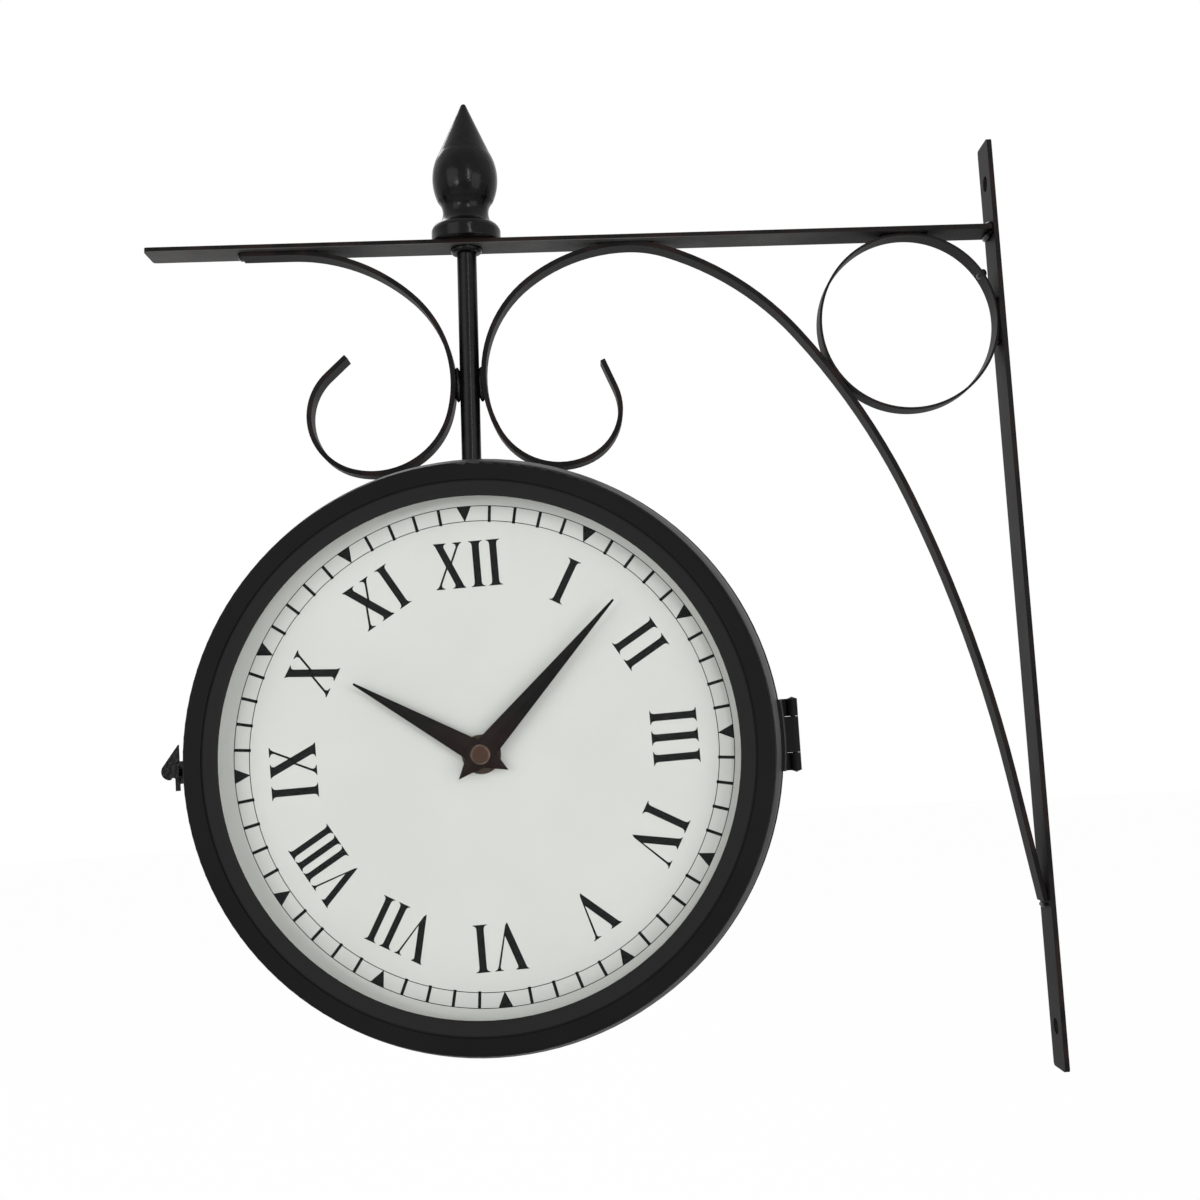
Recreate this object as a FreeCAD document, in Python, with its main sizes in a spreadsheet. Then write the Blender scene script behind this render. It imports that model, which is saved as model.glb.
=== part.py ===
import FreeCAD, Part
import math
import os
import Sketcher
from FreeCAD import Placement, Rotation, Vector

# Double sided station clock on a scrollwork wall bracket, in millimetres.
#
# The origin lies midway between the two screw holes, on the wall face of the upright strip.
# +X points into the wall, +Z up, and the front dial faces -Y. The bracket is built from flat
# bars: an upright strip, a straight arm, a ring and two bent bars. A round rod hangs from the
# arm and holds a pressed drum case. The case parts in front of the rod: its rear half is fixed,
# and its front half is a door on a side hinge, closed by a turning latch.

DIMENSIONS = {
    # upright strip and arm
    "StripLength": (384, "upright strip, top to bottom"),
    "StripWidth": (16, "width of the strip and of the arm"),
    "StripThick": (2, "thickness of the strip and of the arm"),
    "ScrewSpacing": (350, "between the two screw holes"),
    "ScrewHole": (6.5, "diameter of a screw hole"),
    "ArmLength": (354, "arm, from the strip to its free end"),
    "ArmHeight": (153.5, "underside of the arm above the origin, at the strip"),
    "ArmRise": (1.8, "degrees by which the arm climbs towards its free end"),
    "ArmGap": (0.07, "weld gap between the arm and the strip"),
    "CornerRound": (1.5, "rounded corners of strip and arm"),
    # ring and scrolls
    "BandWidth": (10, "width of the ring band and of the bent bars"),
    "RingRadius": (37.5, "outer radius of the ring"),
    "RingThick": (1, "thickness of the ring band"),
    "RingDrop": (37.5, "centre of the ring below the arm"),
    "BarThick": (2, "thickness of the bent bars"),
    "LeftStart": (-314.4, "start of the left scroll along the arm"),
    "LeftLand": (20, "flat landing of the left scroll under the arm"),
    "ApexPlace": (-152.4, "where the right scroll and the brace meet, along the arm"),
    "LeftTail": (11, "straight end of the left scroll"),
    "RightTail": (12.6, "straight end of the right scroll"),
    "BraceTail": (51.5, "straight lower end of the brace"),
    # hanging rod and its finial
    "RodPlace": (-220.4, "axis of the rod along the arm"),
    "RodRadius": (4.1, "radius of the rod"),
    "RodBottom": (-117.5, "lower end of the rod below the arm"),
    "RodTop": (32, "upper end of the rod inside the finial"),
    "FinialHeight": (60.7, "finial, from the arm to its tip"),
    "FinialCollar": (14.5, "radius of the collar"),
    "FinialBulb": (13.7, "radius of the bulb"),
    # case
    "ClockX": (-225, "clock centre from the wall"),
    "ClockZ": (-51, "clock centre below the origin"),
    "DrumRadius": (119.4, "largest radius of the pressed drum"),
    "DrumArc": (168.5, "radius of the drum's barrel curve"),
    "DrumWall": (1.2, "sheet thickness of the drum"),
    "DrumMouth": (46, "mouth of the drum from the middle plane"),
    "SplitPlane": (7, "parting plane in front of the middle plane"),
    "SplitGap": (0.15, "half of the gap at the parting plane"),
    "LipDepth": (2.4, "depth of the rim at the parting plane"),
    "LipRadius": (119.95, "radius of the rim at the parting plane"),
    # bezel, glass and dial
    "BezelFront": (51.5, "front of the bezel from the middle plane"),
    "BezelRadius": (112.3, "outer radius of the bezel"),
    "BezelRound": (1.5, "rounded outer edge of the bezel"),
    "GrooveOuter": (105.3, "outer radius of the bezel groove"),
    "GrooveInner": (104.4, "inner radius of the bezel groove"),
    "SlopeInner": (100.6, "inner radius of the sloped band"),
    "OpeningRadius": (99, "radius of the dial opening"),
    "GlassRadius": (102.6, "radius of the glass"),
    "GlassFront": (50, "front of the glass from the middle plane"),
    "GlassThick": (1.8, "thickness of the glass"),
    "SealDepth": (1.8, "depth of the rubber ring behind the glass"),
    "DialFace": (40, "dial face from the middle plane"),
    "DialThick": (1, "thickness of the dial pan"),
    "ClipWidth": (10, "width of a dial clip"),
    "ClipReach": (10, "length of a dial clip along the drum"),
    "ClipThick": (1.4, "thickness of a dial clip"),
    # quartz movement and hands
    "MotorSize": (56, "width and height of the movement"),
    "MotorDepth": (16, "depth of the movement"),
    "NeckRadius": (4, "radius of the threaded neck"),
    "NeckFront": (42.3, "front of the neck from the middle plane"),
    "NeckBore": (2.65, "bore of the neck"),
    "TubeRadius": (2.6, "outer radius of the hour tube"),
    "TubeBore": (1.65, "bore of the hour tube"),
    "ShaftRadius": (1.6, "radius of the minute shaft"),
    "CellRadius": (7.25, "radius of the dry cell"),
    "CellLength": (50.5, "length of the dry cell"),
    "CellDrop": (16.8, "cell below the shaft"),
    "NutRadius": (7.6, "radius of the washer under the dial nut"),
    "NutCorner": (6.5, "corner radius of the dial nut"),
    "HourLength": (56, "hour hand from shaft to tip"),
    "HourTail": (12.2, "tail of the hour hand"),
    "HourWidth": (9.5, "widest part of the hour hand"),
    "HourPlane": (43.2, "back edge of the hour hand"),
    "MinuteLength": (78, "minute hand from shaft to tip"),
    "MinuteTail": (12.6, "tail of the minute hand"),
    "MinuteWidth": (9.5, "widest part of the minute hand"),
    "MinutePlane": (44.9, "back edge of the minute hand"),
    "HandSheet": (0.4, "sheet thickness of a hand"),
    "HandFold": (0.9, "height of the crease along a hand"),
    "HandBoss": (1.4, "wall of the boss round a hand's bore"),
    "CapRadius": (3.8, "radius of the cap over the shaft"),
    "KnobRadius": (7, "radius of the setting knob"),
    "KnobThick": (5, "thickness of the setting knob"),
    "KnobGap": (0.3, "gap between the setting knob and the movement"),
    "ShownHours": (10, "hours that the hands show"),
    "ShownMinutes": (7.6, "minutes that the hands show"),
    "DialTurn": (1.57, "degrees by which the dial is turned anticlockwise in its case"),
    # hinge and latch
    "HingeOut": (124.8, "hinge axis from the clock axis"),
    "BarrelRadius": (2.15, "radius of the hinge barrel"),
    "BarrelHalf": (14.5, "half height of the hinge barrel"),
    "KnuckleHalf": (7.25, "half height of the middle knuckle"),
    "KnuckleGap": (0.15, "half of the gap between knuckles"),
    "PinRadius": (1, "radius of the hinge pin"),
    "PinPlay": (0.06, "radial play of the moving knuckle on its pin"),
    "LeafThick": (1.2, "thickness of a hinge leaf over the rim"),
    "LatchPivot": (14, "latch pivot in front of the middle plane"),
    "LatchStud": (1.5, "latch stud behind the middle plane"),
    "StudRadius": (1.5, "radius of the latch stud and pivot"),
    "LatchInner": (121.2, "inner face of the latch plate from the clock axis"),
    "LatchThick": (1.5, "thickness of the latch plate"),
    "LatchHalf": (4.5, "half height of the latch plate"),
    "LatchHeel": (5.6, "front edge of the latch plate from its pivot"),
    "HookWidth": (2.6, "width of the latch's hook beyond the stud"),
    "StudPlay": (0.35, "play of the stud in the hook"),
    "RivetHead": (2.6, "radius of the heads of stud and pivot"),
    "TabFoot": (7.2, "foot of the thumb tab below the latch pivot"),
    "TabThick": (2, "thickness of the thumb tab"),
    "NoseOut": (2.1, "centre of the tab's round nose, out from the latch plate"),
    "NoseUp": (0.6, "centre of the tab's round nose above the latch pivot"),
    "NoseRadius": (3.4, "radius of the tab's round nose"),
    # hanger inside the case
    "SaddleDrop": (98.5, "flat of the saddle below the arm's underside, along the rod"),
    "SaddleDepth": (8, "depth of the saddle's block under the drum"),
    "WasherRadius": (9, "radius of the washer under the saddle"),
    "WasherThick": (1.6, "thickness of the washer under the saddle"),
    "RodNutFlats": (13, "rod nut across its flats"),
    "RodNutThick": (6.5, "thickness of the upper rod nut"),
    "LockNutThick": (4, "thickness of the lower, locking nut"),
}

# The bends of each curved bar, as (radius of the face that looks away from the curl, turn in
# degrees), from the arm outwards. Together with the straight ends they are the whole bar.
BENDS = {
    "Left": [(77, 42), (51, 63), (34, 90), (25, 122)],
    "Right": [(70.6, 37.4), (50.9, 80.2), (29.8, 89.4), (23.3, 86.5)],
    "Brace": [(49.8, 18.7), (122.7, 31.2), (291, 16.7), (574, 12.1)],
}


class Size:
    """A dimension: its number, and the sheet formula that the number comes from."""

    def __init__(self, number, formula):
        self.number = number
        self.formula = formula

    def __add__(self, other):
        other = as_size(other)
        return Size(self.number + other.number, f"({self.formula} + {other.formula})")

    def __sub__(self, other):
        other = as_size(other)
        return Size(self.number - other.number, f"({self.formula} - {other.formula})")

    def __mul__(self, other):
        other = as_size(other)
        return Size(self.number * other.number, f"({self.formula} * {other.formula})")

    def __truediv__(self, other):
        other = as_size(other)
        return Size(self.number / other.number, f"({self.formula} / {other.formula})")

    def __radd__(self, other):
        return as_size(other) + self

    def __rsub__(self, other):
        return as_size(other) - self

    def __rmul__(self, other):
        return as_size(other) * self

    def __neg__(self):
        return as_size(0) - self

    def root(self):
        return Size(math.sqrt(self.number), f"sqrt({self.formula})")


def as_size(value):
    return value if isinstance(value, Size) else Size(float(value), f"{float(value):.6f}")


doc = FreeCAD.newDocument("StationClock")
sheet = doc.addObject("Spreadsheet::Sheet", "Dims")
for shape, bends in BENDS.items():
    for letter, (radius, turn) in zip("ABCD", bends):
        DIMENSIONS[f"{shape}Radius{letter}"] = (radius, f"{shape} bar, bend {letter}")
        DIMENSIONS[f"{shape}Turn{letter}"] = (turn, f"{shape} bar, turn of bend {letter}")
for row, (word, (number, meaning)) in enumerate(DIMENSIONS.items(), start=1):
    sheet.set(f"A{row}", meaning)
    sheet.set(f"B{row}", str(number))
    sheet.setAlias(f"B{row}", word)
doc.recompute()


def dim(word):
    return Size(float(DIMENSIONS[word][0]), f"Dims.{word}")


parts = {}


def bind(thing, **sizes):
    """Give properties their sizes as formulas of the sheet."""
    for name, size in sizes.items():
        path = name.replace("__", ".")
        thing.setExpression(path, as_size(size).formula)


def new_body(name):
    return doc.addObject("PartDesign::Body", name)


def new_sketch(body, plane, offset=None):
    sketch = body.newObject("Sketcher::SketchObject", body.Name + "Sketch")
    support = next(item for item in body.Origin.OriginFeatures if item.Role == plane)
    sketch.AttachmentSupport = [(support, "")]
    sketch.MapMode = "FlatFace"
    if offset is not None:
        sketch.AttachmentOffset = Placement(Vector(0, 0, offset.number), Rotation())
        bind(sketch, AttachmentOffset__Base__z=offset)
    return sketch


def hold(sketch, kind, size, *where):
    """Add one measured constraint and bind it to the sheet."""
    index = sketch.addConstraint(Sketcher.Constraint(kind, *where, size.number))
    sketch.setExpression(f"Constraints[{index}]", size.formula)


def arc_through(start, end, radius):
    """The arc from start to end: a positive radius turns left, a negative one right."""
    chord = end - start
    side = Vector(-chord.y, chord.x, 0).normalize() * math.copysign(1, radius)
    reach = math.sqrt(radius * radius - chord.Length * chord.Length / 4)
    centre = (start + end) * 0.5 + side * reach
    return Part.ArcOfCircle(start, centre - side * abs(radius), end)


def outline(sketch, corners):
    """Draw a closed outline. A corner is (x, y), or (x, y, radius) to bend the edge after it."""
    corners = [tuple(as_size(value) for value in corner) for corner in corners]
    spots = [Vector(corner[0].number, corner[1].number, 0) for corner in corners]
    edges = []
    for index, corner in enumerate(corners):
        start = spots[index]
        end = spots[(index + 1) % len(spots)]
        bent = len(corner) == 3
        shape = arc_through(start, end, corner[2].number) if bent else Part.LineSegment(start, end)
        edge = sketch.addGeometry(shape, False)
        forward = (sketch.getPoint(edge, 1) - start).Length < 1e-6
        edges.append((edge, 1 if forward else 2, 2 if forward else 1))
    for index, corner in enumerate(corners):
        edge, first, last = edges[index]
        after, after_first, _ = edges[(index + 1) % len(edges)]
        sketch.addConstraint(Sketcher.Constraint("Coincident", edge, last, after, after_first))
    for (edge, first, _), corner in zip(edges, corners):
        hold(sketch, "DistanceX", corner[0], -1, 1, edge, first)
        hold(sketch, "DistanceY", corner[1], -1, 1, edge, first)
        if len(corner) == 3:
            size = corner[2] if corner[2].number > 0 else -corner[2]
            hold(sketch, "Radius", size, edge)


def circle(sketch, x, y, radius):
    x, y, radius = as_size(x), as_size(y), as_size(radius)
    shape = Part.Circle(Vector(x.number, y.number, 0), Vector(0, 0, 1), radius.number)
    edge = sketch.addGeometry(shape, False)
    hold(sketch, "Radius", radius, edge)
    hold(sketch, "DistanceX", x, -1, 1, edge, 3)
    hold(sketch, "DistanceY", y, -1, 1, edge, 3)


def rectangle(sketch, x_low, x_high, y_low, y_high):
    outline(sketch, [(x_low, y_low), (x_high, y_low), (x_high, y_high), (x_low, y_high)])


def hexagon(sketch, corner):
    """A hexagon from its corner radius, with a corner on the sketch's first axis."""
    angles = [math.radians(60 * step) for step in range(6)]
    outline(sketch, [(corner * math.cos(angle), corner * math.sin(angle)) for angle in angles])


def pad(body, sketch, length, middle=False, back=False):
    feature = body.newObject("PartDesign::Pad", body.Name + "Pad")
    feature.Profile = sketch
    feature.Reversed = back
    feature.SideType = "Symmetric" if middle else "One side"
    bind(feature, Length=length)
    return feature


def pocket(body, sketch, depth, middle=False, back=False):
    doc.recompute()
    before = body.Shape.Volume
    feature = body.newObject("PartDesign::Pocket", body.Name + "Pocket")
    feature.Profile = sketch
    feature.Reversed = back
    feature.SideType = "Symmetric" if middle else "One side"
    bind(feature, Length=depth)
    doc.recompute()
    if body.Shape.Volume > before - 1e-3:
        raise RuntimeError(f"{feature.Name} cuts nothing")
    return feature


def revolve(body, sketch, axis="V_Axis", angle=360, middle=False):
    feature = body.newObject("PartDesign::Revolution", body.Name + "Turned")
    feature.Profile = sketch
    feature.ReferenceAxis = (sketch, [axis])
    feature.Angle = angle
    feature.Midplane = middle
    return feature


def turned(name, corners):
    """A piece turned about the clock axis, from an outline in radius and depth."""
    body = new_body(name)
    outline_sketch = new_sketch(body, "XY_Plane")
    outline(outline_sketch, corners)
    revolve(body, outline_sketch)
    return body


def repeat(body, feature, count, axis="Y_Axis"):
    pattern = body.newObject("PartDesign::PolarPattern", body.Name + "Pattern")
    pattern.Originals = [feature]
    line = next(item for item in body.Origin.OriginFeatures if item.Role == axis)
    pattern.Axis = (line, [""])
    pattern.Angle = 360
    pattern.Occurrences = count
    body.Tip = pattern
    return pattern


def mirror(body, features, plane):
    twin = body.newObject("PartDesign::Mirrored", body.Name + "Mirror")
    twin.Originals = features
    support = next(item for item in body.Origin.OriginFeatures if item.Role == plane)
    twin.MirrorPlane = (support, [""])
    body.Tip = twin
    return twin


def cylinder(name, radius, height, base=(0, 0, 0), direction=(0, 0, 1)):
    thing = doc.addObject("Part::Cylinder", name)
    bind(thing, Radius=radius, Height=height)
    base = [as_size(value) for value in base]
    turn = Rotation(Vector(0, 0, 1), Vector(*direction))
    thing.Placement = Placement(Vector(*[value.number for value in base]), turn)
    bind(thing, Placement__Base__x=base[0], Placement__Base__y=base[1], Placement__Base__z=base[2])
    return thing


def cut(name, base, tool):
    thing = doc.addObject("Part::Cut", name)
    thing.Base = base
    thing.Tool = tool
    return thing


def fuse(name, things):
    thing = doc.addObject("Part::MultiFuse", name)
    thing.Shapes = things
    return thing


def keep(node, thing):
    """Name a finished piece. The name is also that of its file."""
    thing.Label = node
    parts[node] = thing


def place(thing, base, turns=()):
    """Set a piece down at a base point, after turns of (axis, degrees) taken in order."""
    base = [as_size(value) for value in base]
    whole = Rotation()
    for axis, degrees in turns:
        whole = Rotation(Vector(*axis), degrees) * whole
    thing.Placement = Placement(Vector(*[value.number for value in base]), whole)
    bind(thing, Placement__Base__x=base[0], Placement__Base__y=base[1], Placement__Base__z=base[2])


UP = (0, 0, 1)
DEPTH = (0, 1, 0)
ARM_BASE = (-dim("StripThick"), 0, dim("ArmHeight"))
CLOCK_BASE = (dim("ClockX"), 0, dim("ClockZ"))
ARM_TURN = (DEPTH, dim("ArmRise").number)


def on_arm(thing):
    place(thing, ARM_BASE, [ARM_TURN])


def on_clock(thing, side, *turns):
    """Place a piece of one clock face. The rear face is the front one turned half round."""
    turns = list(turns)
    if side == "rear":
        turns.append((UP, 180))
    place(thing, CLOCK_BASE, turns)


# ---------------------------------------------------------------- bracket


def flat_bar(name, low, high, holes):
    """A flat bar of the strip's section with rounded corners, drawn on its wide face."""
    body = new_body(name)
    sketch = new_sketch(body, "XY_Plane")
    side = dim("StripWidth") / 2
    rounding = dim("CornerRound")
    outline(sketch, [
        (low + rounding, -side), (high - rounding, -side, rounding),
        (high, rounding - side), (high, side - rounding, rounding),
        (high - rounding, side), (low + rounding, side, rounding),
        (low, side - rounding), (low, rounding - side, rounding),
    ])
    for place_along, radius in holes:
        circle(sketch, place_along, 0, radius)
    pad(body, sketch, dim("StripThick"))
    return body


def make_strip():
    """The upright strip is drawn lying down and then stood on end."""
    half = dim("StripLength") / 2
    holes = [(sign * dim("ScrewSpacing") / 2, dim("ScrewHole") / 2) for sign in (1, -1)]
    strip = flat_bar("WallStrip", -half, half, holes)
    place(strip, (0, 0, 0), [(DEPTH, -90)])
    keep("wall_strip", strip)


def make_arm():
    arm = flat_bar("Arm", -dim("ArmLength"), -dim("ArmGap"), [(dim("RodPlace"), dim("RodRadius"))])
    on_arm(arm)
    keep("arm", arm)


def ring_place():
    """The ring touches the arm above it and the strip beside it."""
    rise = math.radians(dim("ArmRise").number)
    reach = dim("RingRadius") - dim("RingDrop") * math.sin(rise)
    return -reach / math.cos(rise)


def make_ring():
    ring = new_body("Ring")
    sketch = new_sketch(ring, "XZ_Plane")
    for radius in (dim("RingRadius"), dim("RingRadius") - dim("RingThick")):
        circle(sketch, ring_place(), -dim("RingDrop"), radius)
    pad(ring, sketch, dim("BandWidth"), middle=True)
    on_arm(ring)
    keep("scroll_ring", ring)


def bar_faces(start, heading, side, runs):
    """Both faces of a bent bar as corners (spot, radius), in the order of its runs.

    A run is (length, 0) for a straight stretch, or (outer radius, turn in degrees). The bar
    lies to one side of its start line, left for 1 and right for -1, and curls to that side.
    """
    thick = dim("BarThick").number
    spot = Vector(*start)
    outer = []
    inner = []
    for length, turn in runs:
        across = Vector(-math.sin(heading), math.cos(heading), 0) * side
        outer.append((spot, length * side if turn else 0))
        inner.append((spot + across * thick, (length - thick) * side if turn else 0))
        if turn:
            centre = spot + across * length
            heading += math.radians(turn) * side
            spot = centre - Vector(-math.sin(heading), math.cos(heading), 0) * side * length
        else:
            spot = spot + Vector(math.cos(heading), math.sin(heading), 0) * length
    across = Vector(-math.sin(heading), math.cos(heading), 0) * side
    outer.append((spot, 0))
    inner.append((spot + across * thick, 0))
    return outer, inner


def forward(face):
    return [(spot.x, spot.y, radius) if radius else (spot.x, spot.y) for spot, radius in face]


def backward(face):
    """The same face walked the other way: each bend now belongs to its far corner."""
    spots = [spot for spot, _ in reversed(face)]
    bends = [-radius for _, radius in reversed(face)][1:] + [0]
    return forward(list(zip(spots, bends)))


def bent_bar(name, loop):
    bar = new_body(name)
    sketch = new_sketch(bar, "XZ_Plane")
    outline(sketch, loop)
    pad(bar, sketch, dim("BandWidth"), middle=True)
    on_arm(bar)
    return bar


def bends(shape):
    return [(dim(f"{shape}Radius{letter}").number, dim(f"{shape}Turn{letter}").number)
            for letter in "ABCD"]


def straight(word):
    return (dim(word).number, 0)


def make_scrolls():
    runs = [straight("LeftLand")] + bends("Left") + [straight("LeftTail")]
    outer, inner = bar_faces((dim("LeftStart").number, 0, 0), 0, -1, runs)
    keep("left_scroll", bent_bar("LeftScroll", forward(outer) + backward(inner)))
    # The right scroll and the brace are one bar, bent both ways from its apex under the arm.
    apex = (dim("ApexPlace").number, 0, 0)
    curl = bar_faces(apex, math.pi, 1, bends("Right") + [straight("RightTail")])
    brace = bar_faces(apex, 0, -1, bends("Brace") + [straight("BraceTail")])
    loop = forward(curl[0]) + backward(curl[1])[:-1] + forward(brace[1]) + backward(brace[0])[:-1]
    keep("scroll_brace", bent_bar("ScrollBrace", loop))


def on_rod(thing, height):
    """Place a piece on the rod, at a height above the arm's underside."""
    rise = Rotation(Vector(*DEPTH), dim("ArmRise").number)
    spot = rise.multVec(Vector(dim("RodPlace").number, 0, height.number))
    place(thing, (ARM_BASE[0] + spot.x, 0, ARM_BASE[2] + spot.z), [ARM_TURN])


def make_rod():
    rod = cylinder("Rod", dim("RodRadius"), dim("RodTop") - dim("RodBottom"))
    on_rod(rod, dim("RodBottom"))
    keep("hanger_rod", rod)


def make_finial():
    """A turned finial, screwed on the rod: collar, neck, bulb and a long cone."""
    finial = new_body("Finial")
    sketch = new_sketch(finial, "XZ_Plane")
    bore = dim("RodRadius")
    depth = dim("RodTop") - dim("StripThick")
    collar = dim("FinialCollar")
    bulb = dim("FinialBulb")
    # The tip is part of a ball centred on the axis, so its cap is this much lower than its ball.
    tip = as_size(1.1)
    ball = tip + 0.1
    cap = ball - (ball * ball - tip * tip).root()
    outline(sketch, [
        (bore, 0), (collar - 0.8, 0, 0.8), (collar, 0.8), (collar, 5, 4.2),
        (collar - 3.4, 8.4, -7.7), (bulb - 2.1, 18.2, 22.5), (bulb - 3.05, 39),
        (tip, dim("FinialHeight") - cap, ball), (0, dim("FinialHeight")),
        (0, depth + 2), (bore, depth),
    ])
    revolve(finial, sketch)
    on_rod(finial, dim("StripThick"))
    keep("finial", finial)


# Welds in the crotches of the bracket, as round beads across the bars: place along the arm,
# height above its underside, radius and half width.
WELDS = {
    "arm_strip_under": (-0.9, -0.9, 1.5, 6),
    "arm_strip_over": (-0.9, 2.9, 1.5, 6),
    "ring_arm_left": (-45.3, -0.5, 0.9, 4),
    "ring_arm_right": (-27.3, -0.5, 0.9, 4),
    "ring_strip_high": (0.5, -28.5, 0.9, 4),
    "ring_strip_low": (0.8, -46.5, 0.95, 4),
    "ring_seam": (-4.2, -17.4, 1.3, 4.5),
    "left_end": (-315.0, -1.0, 1.2, 4),
    "left_land": (-283.4, -0.4, 0.85, 4),
    "apex_left": (-164.4, -0.5, 0.9, 4),
    "apex_right": (-142.4, -0.5, 0.9, 4),
    "brace_end": (7.4, -280.3, 1.2, 4),
}
# Beads that stand beside the rod where it passes between the scrolls.
ROD_BEAD_RADIUS = 1.7
ROD_BEAD_HEIGHT = 13
ROD_BEAD_DROP = 64.5


def make_welds():
    beads = []
    rise = Rotation(Vector(*DEPTH), dim("ArmRise").number)
    for name, (along, up, radius, half_width) in WELDS.items():
        bead = cylinder(f"Bead_{name}", radius, 2 * half_width)
        spot = rise.multVec(Vector(along, 0, up))
        place(bead, (ARM_BASE[0] + spot.x, -half_width, ARM_BASE[2] + spot.z),
              [((1, 0, 0), -90)])
        beads.append(bead)
    collar = doc.addObject("Part::Cone", "Bead_rod_arm")
    bind(collar, Radius1=dim("RodRadius") + 0.4, Radius2=dim("RodRadius") + 3, Height=2.6)
    on_rod(collar, as_size(-2.6))
    beads.append(collar)
    for side in (-1, 1):
        bead = cylinder(f"Bead_rod_{'left' if side < 0 else 'right'}", ROD_BEAD_RADIUS,
                        ROD_BEAD_HEIGHT)
        reach = side * (dim("RodRadius").number + 1)
        spot = rise.multVec(Vector(dim("RodPlace").number + reach, 0, -ROD_BEAD_DROP))
        place(bead, (ARM_BASE[0] + spot.x, 0, ARM_BASE[2] + spot.z), [ARM_TURN])
        beads.append(bead)
    bracket = [parts[node] for node in ("wall_strip", "arm", "scroll_ring", "left_scroll",
                                        "scroll_brace", "hanger_rod", "finial")]
    keep("weld_beads", cut("Welds", fuse("Beads", beads), fuse("Bracket", bracket)))


# ---------------------------------------------------------------- case


def drum(depth, inset=0):
    """Radius of the barrel curve at a depth from the middle plane, less an inset."""
    arc = dim("DrumArc") - inset
    depth = as_size(depth)
    return (arc * arc - depth * depth).root() - (dim("DrumArc") - dim("DrumRadius"))


def make_shell(side):
    """Half of the pressed drum, from its mouth to the rim at the parting plane."""
    wall = dim("DrumWall")
    mouth = -dim("DrumMouth")
    split = dim("SplitPlane") if side == "rear" else -dim("SplitPlane")
    split = split - dim("SplitGap")
    rim = split - dim("LipDepth")
    arc = dim("DrumArc")
    shell = turned(f"{side}Shell", [
        (drum(mouth), mouth, arc), (drum(rim), rim), (dim("LipRadius"), rim),
        (dim("LipRadius"), split), (drum(split, wall), split, wall - arc),
        (drum(mouth, wall), mouth),
    ])
    on_clock(shell, side)
    if side == "rear":
        passage = cylinder("RodPassage", dim("RodRadius") + 0.2, 40)
        on_rod(passage, dim("RodBottom"))
        shell = cut("RearShellDrilled", shell, passage)
    keep(f"{side}_shell", shell)


def make_bezel(side):
    """A spun ring: its skirt sits in the drum's mouth, and its inner wall holds the glass."""
    front = -dim("BezelFront")
    mouth = -dim("DrumMouth")
    skirt = drum(mouth, dim("DrumWall")) - 0.1
    outer = dim("BezelRadius")
    glass = -dim("GlassFront")
    bezel = turned(f"{side}Bezel", [
        (skirt - 1.2, mouth + 6), (skirt, mouth + 6), (skirt, mouth), (outer, mouth),
        (outer, front + dim("BezelRound"), -dim("BezelRound")), (outer - dim("BezelRound"), front),
        (dim("GrooveOuter"), front), (dim("GrooveOuter"), front + 0.7),
        (dim("GrooveInner"), front + 0.7), (dim("GrooveInner"), front + 0.2),
        (dim("SlopeInner"), front + 0.8), (dim("OpeningRadius"), front + 0.8),
        (dim("OpeningRadius"), glass), (dim("GlassRadius") + 0.1, glass),
        (dim("GlassRadius") + 0.1, mouth), (dim("GlassRadius") + 1.3, mouth),
        (dim("GlassRadius") + 1.3, glass + 0.4), (skirt - 1.2, glass + 0.4),
    ])
    on_clock(bezel, side)
    keep(f"{side}_bezel", bezel)


def make_glass(side):
    front = -dim("GlassFront")
    back = front + dim("GlassThick")
    outer = dim("GlassRadius")
    glass = turned(f"{side}Glass", [(0, front), (outer, front), (outer, back), (0, back)])
    on_clock(glass, side)
    keep(f"{side}_lens", glass)
    seal_back = back + dim("SealDepth")
    inner = dim("OpeningRadius") + 0.6
    seal = turned(f"{side}Seal", [
        (inner, back), (outer, back), (outer, seal_back), (inner + 1, seal_back)])
    on_clock(seal, side)
    keep(f"{side}_lens_seal", seal)


def make_dial(side):
    """A pressed pan: a flat dial whose turned-up rim bears on the rubber ring."""
    rim = -(dim("GlassFront") - dim("GlassThick") - dim("SealDepth"))
    face = -dim("DialFace")
    back = face + dim("DialThick")
    outer = dim("GlassRadius")
    hole = dim("NeckRadius") + 0.1
    dial = turned(f"{side}Dial", [
        (hole, face), (outer - dim("DialThick"), face), (outer - dim("DialThick"), rim),
        (outer, rim), (outer, back), (hole, back)])
    on_clock(dial, side)
    keep(f"{side}_dial", dial)
    clips = new_body(f"{side}Clips")
    sketch = new_sketch(clips, "XY_Plane")
    thick = dim("ClipThick")
    foot = back + dim("ClipReach")
    wall = dim("DrumWall") + 0.09
    outline(sketch, [
        (outer - 4, back), (drum(back, wall), back), (drum(foot, wall), foot),
        (drum(foot, wall) - thick, foot), (drum(back, wall) - thick, back + thick),
        (outer - 4, back + thick)])
    clip = pad(clips, sketch, dim("ClipWidth"), middle=True)
    repeat(clips, clip, 4)
    on_clock(clips, side, (DEPTH, 45))
    keep(f"{side}_dial_clips", clips)


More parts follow.
